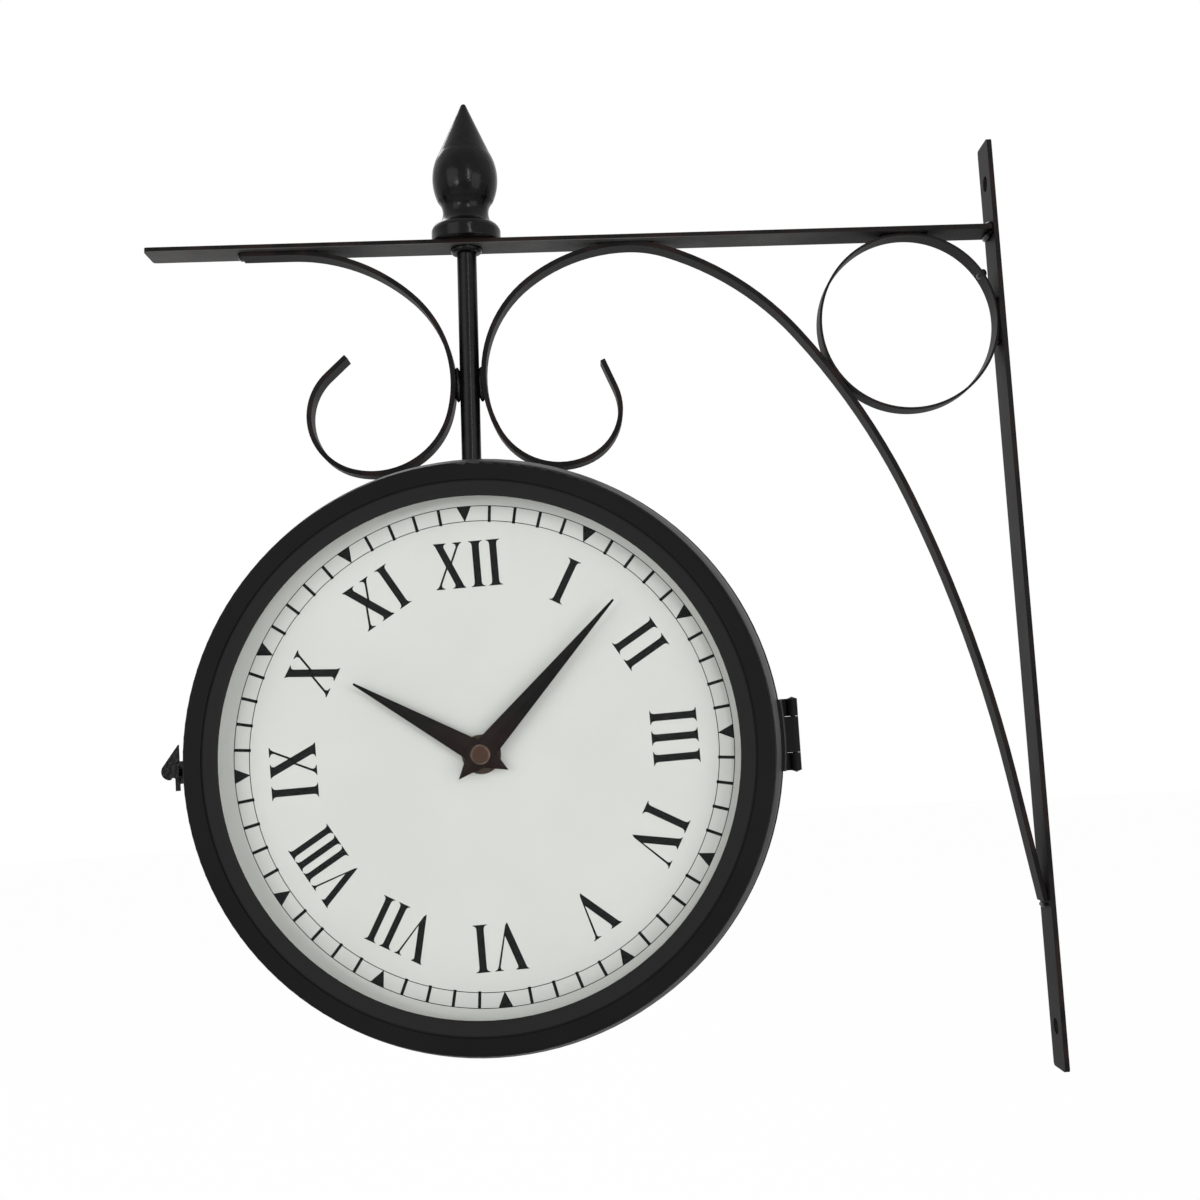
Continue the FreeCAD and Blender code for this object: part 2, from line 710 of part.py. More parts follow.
def make_movement(side):
    """A battery movement: a moulded box with a threaded neck and an open bay for the cell."""
    half = dim("MotorSize") / 2
    front = dim("DialFace") - dim("DialThick")
    back = front - dim("MotorDepth")
    rounding = as_size(5)
    movement = new_body(f"{side}Movement")
    sketch = new_sketch(movement, "XZ_Plane", back)
    outline(sketch, [
        (-half + rounding, -half), (half - rounding, -half, rounding),
        (half, -half + rounding), (half, half - rounding, rounding),
        (half - rounding, half), (-half + rounding, half, rounding),
        (-half, half - rounding), (-half, -half + rounding, rounding)])
    pad(movement, sketch, dim("MotorDepth"))
    sketch = new_sketch(movement, "XZ_Plane", front)
    circle(sketch, 0, 0, dim("NeckRadius"))
    pad(movement, sketch, dim("NeckFront") - front)
    sketch = new_sketch(movement, "XZ_Plane", dim("NeckFront"))
    circle(sketch, 0, 0, dim("NeckBore"))
    pocket(movement, sketch, 8)
    sketch = new_sketch(movement, "XZ_Plane", back)
    circle(sketch, 0, 0, dim("ShaftRadius") + 0.05)
    pocket(movement, sketch, 5, back=True)
    sketch = new_sketch(movement, "XZ_Plane", back)
    bay = dim("CellRadius") + 0.35
    rectangle(sketch, -dim("CellLength") / 2 - 0.6, dim("CellLength") / 2 + 0.6,
              -dim("CellDrop") - bay, bay - dim("CellDrop"))
    pocket(movement, sketch, 2 * dim("CellRadius") + 0.6, back=True)
    on_clock(movement, side)
    keep(f"{side}_movement", movement)
    cell = new_body(f"{side}Cell")
    sketch = new_sketch(cell, "XZ_Plane")
    end = dim("CellLength") / 2
    outline(sketch, [
        (-end, 0), (end, 0), (end, 2.7), (end - 1.3, 2.7), (end - 1.3, dim("CellRadius")),
        (-end, dim("CellRadius"))])
    revolve(cell, sketch, "H_Axis")
    turn = Rotation(Vector(*UP), 180 if side == "rear" else 0)
    spot = turn.multVec(Vector(0, -(back + dim("CellRadius") + 0.2).number, 0))
    place(cell, (CLOCK_BASE[0], spot.y, CLOCK_BASE[2] - dim("CellDrop")),
          [(UP, 180 if side == "rear" else 0)])
    keep(f"{side}_cell", cell)


def make_dial_nut(side):
    """A hexagon nut on a round washer, drawn from the front of the dial."""
    nut = new_body(f"{side}Nut")
    sketch = new_sketch(nut, "XZ_Plane", dim("DialFace"))
    circle(sketch, 0, 0, dim("NutRadius"))
    pad(nut, sketch, 0.6)
    sketch = new_sketch(nut, "XZ_Plane", dim("DialFace") + 0.6)
    hexagon(sketch, dim("NutCorner"))
    pad(nut, sketch, 1.4)
    sketch = new_sketch(nut, "XZ_Plane", dim("DialFace") + 2)
    circle(sketch, 0, 0, dim("NeckRadius"))
    pocket(nut, sketch, 2)
    on_clock(nut, side)
    keep(f"{side}_dial_nut", nut)


def hand_turn(name):
    """Clockwise turn of a hand from upright, at the time shown on the turned dial."""
    minutes = dim("ShownMinutes").number
    if name == "Minute":
        return 6 * minutes - dim("DialTurn").number
    return 30 * (dim("ShownHours").number + minutes / 60) - dim("DialTurn").number


def make_hand(side, name, hub):
    """A pointed hand: a folded sheet with its crease along the middle, cut to a long kite."""
    length, tail = dim(f"{name}Length"), dim(f"{name}Tail")
    width, back = dim(f"{name}Width"), dim(f"{name}Plane")
    half = width / 2 + 0.5
    crease = back + dim("HandFold")
    thick = dim("HandSheet")
    fold = new_body(f"{side}{name}Fold")
    sketch = new_sketch(fold, "XY_Plane", -tail - 2)
    outline(sketch, [(-half, -back), (0, -crease), (half, -back), (half, -back - thick),
                     (0, -crease - thick), (-half, -back - thick)])
    pad(fold, sketch, length + tail + 4)
    kite = new_body(f"{side}{name}Kite")
    sketch = new_sketch(kite, "XZ_Plane", back - 0.5)
    outline(sketch, [(0, -tail), (width / 2, -1.5), (0.4, length), (-0.4, length),
                     (-width / 2, -1.5)])
    pad(kite, sketch, 3)
    blade = doc.addObject("Part::MultiCommon", f"{side}{name}Blade")
    blade.Shapes = [fold, kite]
    boss = cylinder(f"{side}{name}Boss", hub + dim("HandBoss"), 1.6, (0, -back + 0.2, 0), (0, -1, 0))
    bore = cylinder(f"{side}{name}Bore", hub, 6, (0, -back + 2, 0), (0, -1, 0))
    hand = cut(f"{side}{name}Hand", fuse(f"{side}{name}Whole", [blade, boss]), bore)
    on_clock(hand, side, (DEPTH, hand_turn(name)))
    keep(f"{side}_{name.lower()}_hand", hand)


def make_arbors(side):
    """Hour tube, minute shaft, shaft cap and setting knob, all on the clock axis."""
    tube = turned(f"{side}Tube", [
        (dim("TubeBore"), -dim("HourPlane") - 1.4), (dim("TubeRadius"), -dim("HourPlane") - 1.4),
        (dim("TubeRadius"), -dim("NeckFront") + 7), (dim("TubeBore"), -dim("NeckFront") + 7)])
    on_clock(tube, side)
    keep(f"{side}_hour_tube", tube)
    tip = -dim("MinutePlane") - 1.4
    shaft = turned(f"{side}Shaft", [
        (0, tip), (dim("ShaftRadius"), tip), (dim("ShaftRadius"), -dim("NeckFront") + 7.6),
        (0, -dim("NeckFront") + 7.6)])
    on_clock(shaft, side)
    keep(f"{side}_minute_shaft", shaft)
    cap = turned(f"{side}Cap", [
        (0, tip - 1.2), (dim("CapRadius") - 0.9, tip - 1.2, 1.0),
        (dim("CapRadius"), tip - 0.3), (dim("CapRadius"), tip), (0, tip)])
    on_clock(cap, side)
    keep(f"{side}_hub_cap", cap)
    knob = new_body(f"{side}Knob")
    front = dim("DialFace") - dim("DialThick") - dim("MotorDepth") - dim("KnobGap")
    back = front - dim("KnobThick")
    sketch = new_sketch(knob, "XZ_Plane", back)
    circle(sketch, 0, 0, dim("KnobRadius"))
    pad(knob, sketch, dim("KnobThick"))
    sketch = new_sketch(knob, "XZ_Plane", front)
    circle(sketch, 0, 0, dim("ShaftRadius"))
    pad(knob, sketch, 4.8)
    sketch = new_sketch(knob, "XZ_Plane", back)
    circle(sketch, dim("KnobRadius") + 0.5, 0, 1.1)
    flute = pocket(knob, sketch, dim("KnobThick"), back=True)
    repeat(knob, flute, 12)
    on_clock(knob, side)
    keep(f"{side}_set_knob", knob)


def make_face(side):
    make_shell(side)
    make_bezel(side)
    make_glass(side)
    make_dial(side)
    make_movement(side)
    make_dial_nut(side)
    make_arbors(side)
    make_hand(side, "Hour", dim("TubeRadius"))
    make_hand(side, "Minute", dim("ShaftRadius"))


def make_hanger():
    """The rod's end inside the case: a curved saddle under the drum, a washer and two nuts."""
    saddle = new_body("Saddle")
    sketch = new_sketch(saddle, "XY_Plane")
    low, high = as_size(-5.5), as_size(12)
    wall = dim("DrumWall") + 0.02
    seat = dim("DrumRadius") - dim("SaddleDepth")
    outline(sketch, [(seat, low), (drum(low, wall), low, dim("DrumArc") - wall),
                     (drum(high, wall), high), (seat, high)])
    revolve(saddle, sketch, angle=16, middle=True)
    place(saddle, CLOCK_BASE, [(DEPTH, -90)])
    flat = doc.addObject("Part::Box", "SaddleFlat")
    bind(flat, Length=60, Width=60, Height=20)
    rise = Rotation(Vector(*DEPTH), dim("ArmRise").number)
    seat_height = -dim("SaddleDrop")
    spot = rise.multVec(Vector(dim("RodPlace").number - 30, -30, seat_height.number - 20))
    place(flat, (ARM_BASE[0] + spot.x, spot.y, ARM_BASE[2] + spot.z), [ARM_TURN])
    passage = cylinder("SaddlePassage", dim("RodRadius") + 0.1, 60)
    on_rod(passage, dim("RodBottom"))
    keep("hanger_saddle", cut("SaddleCut", saddle, fuse("SaddleTools", [flat, passage])))
    washer = new_body("Washer")
    sketch = new_sketch(washer, "XY_Plane")
    circle(sketch, 0, 0, dim("WasherRadius"))
    circle(sketch, 0, 0, dim("RodRadius") + 0.1)
    pad(washer, sketch, dim("WasherThick"), back=True)
    on_rod(washer, seat_height)
    keep("rod_washer", washer)
    nuts = []
    top = seat_height - dim("WasherThick")
    for word in ("RodNutThick", "LockNutThick"):
        nut = new_body(word.replace("Thick", ""))
        sketch = new_sketch(nut, "XY_Plane")
        hexagon(sketch, dim("RodNutFlats") / 2 / math.cos(math.radians(30)))
        circle(sketch, 0, 0, dim("RodRadius"))
        pad(nut, sketch, dim(word), back=True)
        on_rod(nut, top)
        top = top - dim(word) - 0.2
        nuts.append(nut)
    pair = doc.addObject("Part::Compound", "RodNuts")
    pair.Links = nuts
    keep("rod_nuts", pair)


# ---------------------------------------------------------------- hinge and latch


def hinge_leaf(side):
    """A leaf that steps over the rim, with its knuckles rolled round the hinge axis."""
    name = f"{side}Leaf"
    sign = 1 if side == "rear" else -1
    split = -dim("SplitPlane")
    leaf = new_body(name)
    near = split + sign * (dim("SplitGap") + 0.8)
    step = split + sign * (dim("SplitGap") + dim("LipDepth") + 0.05)
    far = step + sign * 17
    arc = sign * (dim("DrumArc") + 0.02)
    outer = dim("LipRadius") + dim("LeafThick")
    sketch = new_sketch(leaf, "XY_Plane")
    outline(sketch, [
        (dim("LipRadius"), near), (outer, near), (outer, step + sign * 2),
        (drum(far, -dim("LeafThick")), far), (drum(far, -0.02), far, -arc),
        (drum(step, -0.02), step), (dim("LipRadius"), step)])
    revolve(leaf, sketch, angle=2 * math.degrees(math.asin(
        dim("BarrelHalf").number / outer.number)), middle=True)
    low = dim("KnuckleHalf") + dim("KnuckleGap") if side == "rear" else -dim("KnuckleHalf")
    high = dim("BarrelHalf") if side == "rear" else dim("KnuckleHalf")
    axis = dim("HingeOut")
    barrel = dim("BarrelRadius")
    features = []
    sketch = new_sketch(leaf, "XY_Plane", low)
    circle(sketch, axis, split, barrel)
    features.append(pad(leaf, sketch, high - low))
    sketch = new_sketch(leaf, "XY_Plane", low)
    rectangle(sketch, dim("LipRadius") + 0.3, axis, split + sign * (barrel - 1.2),
              split + sign * barrel)
    features.append(pad(leaf, sketch, high - low))
    if side == "rear":
        doc.recompute()
        mirror(leaf, features, "XY_Plane")
    doc.recompute()
    sketch = new_sketch(leaf, "XY_Plane")
    play = as_size(0) if side == "rear" else dim("PinPlay")
    circle(sketch, axis, split, dim("PinRadius") + play)
    pocket(leaf, sketch, 4 * dim("BarrelHalf"), middle=True)
    place(leaf, CLOCK_BASE)
    keep(f"hinge_{side}_leaf", leaf)


def make_hinge():
    hinge_leaf("rear")
    hinge_leaf("front")
    pin = new_body("HingePin")
    sketch = new_sketch(pin, "XZ_Plane")
    radius = dim("PinRadius")
    end = dim("BarrelHalf")
    head = dim("BarrelRadius") - 0.5
    outline(sketch, [
        (0, -end - 0.8), (head, -end - 0.1), (head, -end), (radius, -end), (radius, end),
        (head, end), (head, end + 0.1), (0, end + 0.8)])
    revolve(pin, sketch)
    place(pin, (CLOCK_BASE[0] + dim("HingeOut"), -dim("SplitPlane"), CLOCK_BASE[2]))
    keep("hinge_pin", pin)


def radial_stud(name, depth, shoulder):
    """A riveted stud on the left of the case, pointing straight out along -X to its head."""
    stud = new_body(name)
    sketch = new_sketch(stud, "XZ_Plane")
    radius = dim("StudRadius")
    head = dim("RivetHead")
    foot = drum(depth)
    outline(sketch, [
        (-shoulder - 1, 0), (-shoulder - 1, head - 0.5), (-shoulder - 0.5, head),
        (-shoulder, head), (-shoulder, radius), (-foot, radius), (-foot, 0)])
    revolve(stud, sketch, "H_Axis")
    place(stud, (CLOCK_BASE[0], depth, CLOCK_BASE[2]))
    return stud


# The upper edge of the latch's thumb tab climbs towards the case at this angle.
SLOPE_ANGLE = 53


def make_latch():
    """A turning latch: a hooked plate with a bent-out thumb tab, pivoted on the door."""
    inner = dim("LatchInner")
    outer = inner + dim("LatchThick")
    pivot = -dim("LatchPivot")
    stud = dim("LatchStud")
    keep("latch_pivot", radial_stud("LatchPost", pivot, outer + 0.15))
    keep("latch_stud", radial_stud("LatchCatch", stud, outer + 0.3))
    # The slot's near side is an arc about the pivot, so that the hook swings clear of the stud.
    lever = new_body("LatchLever")
    sketch = new_sketch(lever, "YZ_Plane", -outer)
    half = dim("LatchHalf")
    slot = dim("StudRadius") + dim("StudPlay")
    sweep = stud - pivot - slot
    corner = pivot + (sweep * sweep - half * half).root()
    heel = pivot - dim("LatchHeel")
    tip = stud + slot + dim("HookWidth")
    outline(sketch, [
        (heel, -half), (corner, -half, sweep), (stud - slot, 0, -slot), (stud, slot, -slot),
        (stud + slot, 0), (stud + slot, -3), (tip, -3), (tip, 1.5), (stud + slot, half),
        (heel, half)])
    circle(sketch, pivot, 0, dim("StudRadius") + 0.06)
    pad(lever, sketch, dim("LatchThick"))
    # The thumb tab: a foot, a small crook above it, a round nose and a slope back to the case.
    sketch = new_sketch(lever, "XZ_Plane", -heel - 0.2)
    foot = -dim("TabFoot")
    nose_x = -outer - dim("NoseOut")
    nose = dim("NoseRadius")
    slope = math.radians(SLOPE_ANGLE)
    leave_x = nose_x - nose * math.sin(slope)
    leave_z = dim("NoseUp") + nose * math.cos(slope)
    outline(sketch, [
        (-inner, foot), (-outer, foot), (-outer, -2.4, 1.2), (nose_x, dim("NoseUp") - nose, -nose),
        (nose_x - nose, dim("NoseUp"), -nose), (leave_x, leave_z),
        (-inner, leave_z + (-inner - leave_x) * math.tan(slope))])
    pad(lever, sketch, dim("TabThick"))
    place(lever, CLOCK_BASE)
    keep("latch_lever", lever)


make_strip()
make_arm()
make_ring()
make_scrolls()
make_rod()
make_finial()
make_welds()
for face_side in ("rear", "front"):
    make_face(face_side)
make_hanger()
make_hinge()
make_latch()

doc.recompute()
for item in doc.Objects:
    if "Invalid" in item.State or "Error" in item.State:
        raise RuntimeError(f"{item.Name} could not be built: {item.State}")
for node, thing in parts.items():
    if thing.Shape.isNull() or not thing.Shape.isValid():
        raise RuntimeError(f"{node} has no valid shape")
os.makedirs("parts", exist_ok=True)
for node, thing in parts.items():
    thing.Shape.exportStep(f"parts/{node}.step")
    print(f"{node}: {len(thing.Shape.Solids)} solid(s), {thing.Shape.Volume:.1f} cubic mm")
print(len(parts), "nodes")
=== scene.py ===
# %% [markdown]
# # A double sided station clock on a scrollwork bracket
# The part's rigid pieces come ready made, in their true places. This notebook gives each of them
# a finish like the real clock's, adds the pieces that are too fine for the solid model, which
# are the printed dials and the welds, and sets up a camera and lamps to match the photograph.
# Blender works in metres, so a size in millimetres is multiplied by MM. The wall is at x = 0.

import math

import bpy
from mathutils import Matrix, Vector


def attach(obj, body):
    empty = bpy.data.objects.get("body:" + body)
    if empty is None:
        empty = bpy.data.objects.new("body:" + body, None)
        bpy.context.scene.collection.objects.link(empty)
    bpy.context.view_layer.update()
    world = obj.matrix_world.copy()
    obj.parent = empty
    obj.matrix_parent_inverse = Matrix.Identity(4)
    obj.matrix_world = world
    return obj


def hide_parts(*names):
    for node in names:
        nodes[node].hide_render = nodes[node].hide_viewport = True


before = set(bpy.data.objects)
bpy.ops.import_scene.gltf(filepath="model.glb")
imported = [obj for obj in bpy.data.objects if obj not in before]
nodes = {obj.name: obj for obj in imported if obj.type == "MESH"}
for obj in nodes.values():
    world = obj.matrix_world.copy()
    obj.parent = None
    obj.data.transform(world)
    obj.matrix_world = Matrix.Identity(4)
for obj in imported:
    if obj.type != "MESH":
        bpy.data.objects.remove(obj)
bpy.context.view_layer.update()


bpy.ops.object.select_all(action="DESELECT")

# %% [markdown]
# A few measures are used again and again: where the clock's axis passes, how far its dials stand
# from the middle plane, and the line of the arm, which climbs a little towards its free end.

# %% Places on the clock
MM = 0.001
CLOCK_X = -225 * MM
CLOCK_Z = -51 * MM
DIAL_FACE = 40 * MM
ARM_FOOT = Vector((-2 * MM, 0, 153.5 * MM))
ARM_RISE = math.radians(1.8)


def on_arm(along, up, across=0.0):
    """A spot beside the arm, from millimetres along it and above its underside."""
    x = along * math.cos(ARM_RISE) + up * math.sin(ARM_RISE)
    z = up * math.cos(ARM_RISE) - along * math.sin(ARM_RISE)
    return ARM_FOOT + Vector((x, across, z)) * MM


print("free end of the arm:", tuple(round(v, 4) for v in on_arm(-354, 1)))

# %% [markdown]
# A finish is a small network of shader nodes. Wiring it by hand is slow to read, so a wire is
# wrapped in a class that knows sums and products: `1 - mask * 0.5` then adds its own Math nodes.
# Colours are blended with Mix nodes instead, because a Math node would turn them grey. A Mix
# node keeps its sockets for colours behind those for numbers, so they are picked by number.

# %% Wires that can be added and multiplied
MIX_MASK, MIX_LOW, MIX_HIGH, MIX_COLOUR = 0, 6, 7, 2


class Wire:
    """The value that comes out of a node's socket."""

    def __init__(self, paint, socket):
        self.paint = paint
        self.socket = socket

    def math(self, operation, first, second=0.0):
        return self.paint.node("Math", {"operation": operation}, {0: first, 1: second})

    def __add__(self, other):
        return self.math("ADD", self, other)

    def __radd__(self, other):
        return self.math("ADD", other, self)

    def __sub__(self, other):
        return self.math("SUBTRACT", self, other)

    def __rsub__(self, other):
        return self.math("SUBTRACT", other, self)

    def __mul__(self, other):
        return self.math("MULTIPLY", self, other)

    def __pow__(self, power):
        return self.math("POWER", self, power)

    def __abs__(self):
        return self.math("ABSOLUTE", self)

    def step(self, low, high):
        """A soft step: 0 below low, 1 above high."""
        settings = {"interpolation_type": "SMOOTHSTEP"}
        return self.paint.node("MapRange", settings, {"Value": self, "From Min": low,
                                                      "From Max": high})


class Paint:
    """One finish: its material, and the nodes that vary it over the surface."""

    def __init__(self, name, **fixed):
        self.material = bpy.data.materials.new(name)
        self.material.use_nodes = True
        self.tree = self.material.node_tree
        self.surface = self.tree.nodes["Principled BSDF"]
        for word, value in fixed.items():
            self.surface.inputs[word.replace("_", " ")].default_value = value
        self.spot = None

    def node(self, kind, settings=None, inputs=None, output=0):
        """Add a node, set it up first, then give its sockets their values or wires."""
        made = self.tree.nodes.new("ShaderNode" + kind)
        for word, value in (settings or {}).items():
            setattr(made, word, value)
        for socket, value in (inputs or {}).items():
            if isinstance(value, Wire):
                self.tree.links.new(value.socket, made.inputs[socket])
            else:
                made.inputs[socket].default_value = value
        return Wire(self, made.outputs[output])

    def place(self):
        """The spot on the piece, in the object's own coordinates."""
        if self.spot is None:
            self.spot = self.node("TexCoord", output="Object")
        return self.spot

    def axis(self, word):
        return self.node("SeparateXYZ", None, {"Vector": self.place()}, output=word)

    def reach(self):
        """The distance from the clock's axis, which runs along Y."""
        flat = self.node("VectorMath", {"operation": "MULTIPLY"},
                         {0: self.place(), 1: (1.0, 0.0, 1.0)})
        return self.node("VectorMath", {"operation": "DISTANCE"},
                         {0: flat, 1: (CLOCK_X, 0.0, CLOCK_Z)}, output="Value")

    def noise(self, size, detail=2.0):
        """A cloud of values round 0.5, with blots of about the given size."""
        inputs = {"Vector": self.place(), "Scale": 1 / size, "Detail": detail}
        return self.node("TexNoise", None, inputs)

    def blend(self, mask, low, high):
        """A colour between two others."""
        inputs = {MIX_MASK: mask, MIX_LOW: low if isinstance(low, Wire) else (*low, 1),
                  MIX_HIGH: high if isinstance(high, Wire) else (*high, 1)}
        return self.node("Mix", {"data_type": "RGBA"}, inputs, output=MIX_COLOUR)

    def bump(self, height, depth, strength=1.0):
        """Small hills on the surface, as a normal."""
        inputs = {"Height": height, "Distance": depth, "Strength": strength}
        return self.node("Bump", None, inputs)

    def to(self, **wires):
        """Join wires to the surface's sockets."""
        for word, wire in wires.items():
            self.tree.links.new(wire.socket, self.surface.inputs[word.replace("_", " ")])
        return self.material


print("the wires are ready")

# %% [markdown]
# The bracket could be mild steel bar, brushed or dipped in a satin black paint. Some edges look
# slightly red in the photograph. Thick paint draws back from sharp edges, so that may be a
# primer that shows through, and the paint does it here. The bars all lie across the middle
# plane, so the distance from that plane, y, tells where their edges are. A fine noise gives the
# skin a slight orange peel.
# In the photograph the underside of the arm is greyer, most of all towards the free end. That
# is painted light: it stands in for light from below. That may be dust, dry paint or only light
# from below. Here it is a guess: dust in the paint.

# %% Bracket paint
ARM_HEIGHT = ARM_FOOT.x * math.sin(ARM_RISE) + ARM_FOOT.z * math.cos(ARM_RISE)
WIDE_HALF = 8 * MM
NARROW_HALF = 5 * MM
GREY_FULL = -130 * MM
GREY_NONE = -40 * MM
SATIN_SHEEN = 0.05
BAR_BLACKS = ((0.0060, 0.0055, 0.0055), (0.0110, 0.0098, 0.0098))
EDGE_RED = (0.026, 0.014, 0.0135)
UNDERSIDE_PAINTED_LIGHT = (0.095, 0.092, 0.090)


def bracket_paint(name, half_width, painted_underlight=False):
    paint = Paint(name, Specular_IOR_Level=SATIN_SHEEN)
    depth = abs(paint.axis("Y"))
    edge = depth.step(half_width - 0.55 * MM, half_width - 0.05 * MM)
    cloud = paint.noise(18 * MM, 3)
    rubbed = edge * paint.noise(11 * MM, 3).step(0.45, 0.62)
    colour = paint.blend(cloud.step(0.35, 0.7), *BAR_BLACKS)
    colour = paint.blend(rubbed * 0.5, colour, EDGE_RED)
    # Painted light: the underside of the arm is greyed towards its free end, as if lit from
    # below.
    if painted_underlight:
        up = paint.axis("X") * math.sin(ARM_RISE) + paint.axis("Z") * math.cos(ARM_RISE)
        under = 1 - (up - ARM_HEIGHT).step(0.1 * MM, 0.5 * MM)
        patches = 0.55 + paint.noise(26 * MM, 3).step(0.3, 0.7) * 0.45
        far_end = 1 - paint.axis("X").step(GREY_FULL, GREY_NONE)
        colour = paint.blend(under * patches * far_end, colour, UNDERSIDE_PAINTED_LIGHT)
    peel = paint.noise(1.2 * MM, 2) * 0.4 + paint.noise(4 * MM, 2)
    rough = 0.40 + cloud * 0.14 + rubbed * 0.12
    return paint.to(Base_Color=colour, Roughness=rough, Normal=paint.bump(peel, 0.03 * MM, 0.15))


wide_bar = bracket_paint("wide_bar_paint", WIDE_HALF)
arm_bar = bracket_paint("arm_paint", WIDE_HALF, painted_underlight=True)
bent_bar = bracket_paint("bent_bar_paint", NARROW_HALF)
print("bracket paints:", wide_bar.name, bent_bar.name)

# %% [markdown]
# The drum and its two bezels could be spun and pressed sheet. Their black looks smoother and a
# little greyer than the bracket's, with a very fine grain, as a spray gun leaves. A groove parts
# the bezel in two bands. The inner one slopes inwards and looks greyer. On the real clock the
# slope alone may do that, which isn't known. The paint greys it further, which is painted light
# standing in for the light on that slope: the distance from the clock's axis picks the band.

# %% Case paint
BEZEL_START = 49 * MM
BEZEL_FULL = 50.5 * MM
GROOVE_INNER = 104.4 * MM
GROOVE_OUTER = 105.3 * MM
CASE_BLACKS = ((0.0075, 0.0073, 0.0073), (0.0110, 0.0107, 0.0107))
BEZEL_BLACK = (0.0055, 0.0053, 0.0053)
SLOPE_PAINTED_LIGHT = (0.0150, 0.0147, 0.0147)


def case_paint():
    paint = Paint("case_paint", Specular_IOR_Level=SATIN_SHEEN)
    front = abs(paint.axis("Y")).step(BEZEL_START, BEZEL_FULL)
    inner_band = front * (1 - paint.reach().step(GROOVE_INNER, GROOVE_OUTER))
    cloud = paint.noise(45 * MM, 3)
    colour = paint.blend(cloud.step(0.3, 0.7), *CASE_BLACKS)
    colour = paint.blend(front * 0.5, colour, BEZEL_BLACK)
    # Painted light: the inner band is greyed, standing in for the light its slope catches.
    colour = paint.blend(inner_band, colour, SLOPE_PAINTED_LIGHT)
    grain = paint.noise(0.45 * MM, 2) * 0.8 + paint.noise(2.2 * MM, 2) * 0.7
    rough = 0.40 + paint.noise(9 * MM, 3) * 0.1
    return paint.to(Base_Color=colour, Roughness=rough, Normal=paint.bump(grain, 0.03 * MM, 0.5))


case_black = case_paint()
print("case paint:", case_black.name)

# %% [markdown]
# The turned finial, the rod and the welds look the glossiest in the photograph, as thick paint
# does. A low, wide noise bends the reflections as a run of paint would, and the coat keeps them
# bright.

# %% Glossy paint
GLOSS_BLACKS = ((0.0022, 0.0022, 0.0022), (0.0050, 0.0047, 0.0047))


def glossy_paint(name, rough, ripple):
    paint = Paint(name, Specular_IOR_Level=0.1, Coat_Weight=0.05, Coat_Roughness=0.06)
    cloud = paint.noise(6 * MM, 3)
    colour = paint.blend(cloud.step(0.3, 0.7), *GLOSS_BLACKS)
    runs = paint.noise(ripple, 2) + paint.noise(ripple * 0.3, 2) * 0.35
    shine = rough + cloud * 0.1
    return paint.to(Base_Color=colour, Roughness=shine, Normal=paint.bump(runs, 0.4 * MM, 0.6))


finial_gloss = glossy_paint("finial_gloss", 0.14, 5 * MM)
rod_gloss = glossy_paint("rod_gloss", 0.24, 9 * MM)
weld_gloss = glossy_paint("weld_gloss", 0.18, 2.2 * MM)
print("glossy paints:", finial_gloss.name, rod_gloss.name, weld_gloss.name)

# %% [markdown]
# The dial could be a pressed pan in off-white enamel. Its white leans slightly to green. The
# flat is matt here, so that a low lamp leaves no glare on it. Towards the turned-up rim the
# white greys a little: that is painted shade, standing in for the shadow of the bezel's well.

# %% Dial enamel
ENAMEL_WHITES = ((0.590, 0.604, 0.571), (0.617, 0.629, 0.597))
RIM_START = 84 * MM
RIM_FULL = 101 * MM
RIM_PAINTED_SHADE = (0.46, 0.47, 0.44)


def dial_enamel():
    paint = Paint("dial_enamel", Specular_IOR_Level=0.3)
    colour = paint.blend(paint.noise(60 * MM, 2).step(0.3, 0.7), *ENAMEL_WHITES)
    # Painted shade: the white greys towards the rim, where the bezel's well shades it.
    edge = paint.reach().step(RIM_START, RIM_FULL)
    colour = paint.blend(edge * 0.2, colour, RIM_PAINTED_SHADE)
    rough = 0.5 + paint.noise(12 * MM, 2) * 0.12
    return paint.to(Base_Color=colour, Roughness=rough,
                    Normal=paint.bump(paint.noise(1.1 * MM, 2), 0.01 * MM, 0.4))


dial_white = dial_enamel()
print("dial enamel:", dial_white.name)

# %% [markdown]
# Flat window glass is nearly invisible from the front and mirrors its surroundings at a grazing
# look. The pane has two faces, and a Fresnel node would turn the inner one solid for slanting
# light, which darkens the dial. Layer Weight's Facing is the same on both faces, so a high power
# of it drives how solid the glass appears: clear, with a skin of reflection at a slant.

# %% Glass
CLEAREST = 0.012
SLANT_POWER = 4
SLANT_SKIN = 0.6


def clear_pane():
    paint = Paint("clear_pane", Roughness=0.04, Base_Color=(0.22, 0.24, 0.23, 1),
                  Specular_IOR_Level=1.0)
    slant = paint.node("LayerWeight", None, {"Blend": 0.5}, output="Facing")
    return paint.to(Alpha=CLEAREST + slant ** SLANT_POWER * SLANT_SKIN)


clear_glass = clear_pane()
clear_glass.surface_render_method = "BLENDED"
print("glass:", clear_glass.name)

# %% [markdown]
# The hands and the printed marks are almost the same black. The hands look like folded sheet
# with a thin satin paint, so they catch the light along one side of the crease. They look
# browner near the hub. That may be a reflection of the brown cap, but it is put in the paint,
# as a faint tint. The ink lies dead flat and stays matt.

# %% Hands and ink
HAND_BLACKS = ((0.0018, 0.0018, 0.0018), (0.0060, 0.0040, 0.0040))
HUB_BROWN = (0.020, 0.0060, 0.0050)
HUB_NEAR = 6 * MM
HUB_FAR = 26 * MM
INK_BLACKS = ((0.003, 0.003, 0.0035), (0.008, 0.0075, 0.008))


